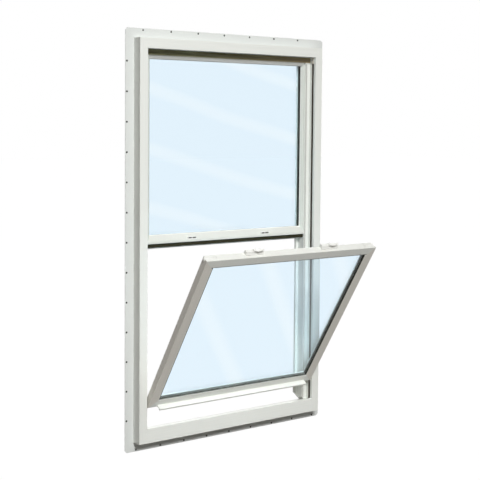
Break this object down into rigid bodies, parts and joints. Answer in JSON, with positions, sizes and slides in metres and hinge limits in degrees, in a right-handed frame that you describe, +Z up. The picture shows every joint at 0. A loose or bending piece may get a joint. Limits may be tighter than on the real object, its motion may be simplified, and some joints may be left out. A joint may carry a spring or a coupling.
{
  "type": "single hung window",
  "caption": "White vinyl single hung window with a fixed upper lite, a lower sash that slides up and tilts in, sash locks and a nailing fin.",
  "frame": {"origin": "on the room side of the nailing fin, at its mid width below the middle of the sill", "axes": "+X right as seen from the room, +Y outdoors, +Z up"},
  "size_m": [0.978, 0.4772, 1.638],
  "materials": {
    "vinyl": "satin white extrusion",
    "glass": "clear float glass",
    "spacer": "dark warm edge spacer",
    "seal": "black pile and foam",
    "hardware": "white enamel",
    "track_stop": "pale moulded plastic",
    "shoe": "grey moulded plastic",
    "pivot": "zinc plated steel"
  },
  "bodies": {
    "frame": {"frame_head": "vinyl", "frame_sill": "vinyl", "frame_left_jamb": "vinyl", "frame_right_jamb": "vinyl", "meeting_rail": "vinyl", "meeting_rail_weatherstrip": "seal", "head_seal": "seal", "upper_inner_pane": "glass", "upper_outer_pane": "glass", "upper_spacer": "spacer", "upper_bead_head": "vinyl", "upper_bead_left": "vinyl", "upper_bead_right": "vinyl", "keeper_left": "hardware", "keeper_right": "hardware", "left_track_stop": "track_stop", "right_track_stop": "track_stop"},
    "carriage": {"left_balance_shoe": "shoe", "right_balance_shoe": "shoe"},
    "sash": {"sash_top_rail": "vinyl", "sash_bottom_rail": "vinyl", "sash_left_stile": "vinyl", "sash_right_stile": "vinyl", "sash_inner_pane": "glass", "sash_outer_pane": "glass", "sash_spacer": "spacer", "sash_bead_left": "vinyl", "sash_bead_right": "vinyl", "sash_bead_top": "vinyl", "sash_bead_bottom": "vinyl", "left_pivot_bar": "pivot", "right_pivot_bar": "pivot", "left_lock_housing": "hardware", "right_lock_housing": "hardware"},
    "left_lever": {"left_lock_lever": "hardware"},
    "right_lever": {"right_lock_lever": "hardware"},
    "left_latch": {"left_tilt_latch": "hardware"},
    "right_latch": {"right_tilt_latch": "hardware"}
  },
  "joints": [
    {"name": "sash_slide", "type": "slide", "parent": "frame", "child": "carriage", "axis": [0, 0, 1], "range_m": [-0.0754, 0.5946]},
    {"name": "sash_tilt", "type": "hinge", "parent": "carriage", "child": "sash", "pos_m": [0, -0.026, 0.1674], "axis": [1, 0, 0], "range_deg": [-32.9, 57.1]},
    {"name": "left_lock_turn", "type": "hinge", "parent": "sash", "child": "left_lever", "pos_m": [-0.194, -0.41765, 0.78109], "axis": [0, -0.5432, 0.8396], "range_deg": [-110, 0]},
    {"name": "right_lock_turn", "type": "hinge", "parent": "sash", "child": "right_lever", "pos_m": [0.169, -0.41765, 0.78109], "axis": [0, -0.5432, 0.8396], "range_deg": [-110, 0]},
    {"name": "left_latch_slide", "type": "slide", "parent": "sash", "child": "left_latch", "axis": [1, 0, 0], "range_m": [-0.01, 0]},
    {"name": "right_latch_slide", "type": "slide", "parent": "sash", "child": "right_latch", "axis": [-1, 0, 0], "range_m": [-0.01, 0]}
  ]
}
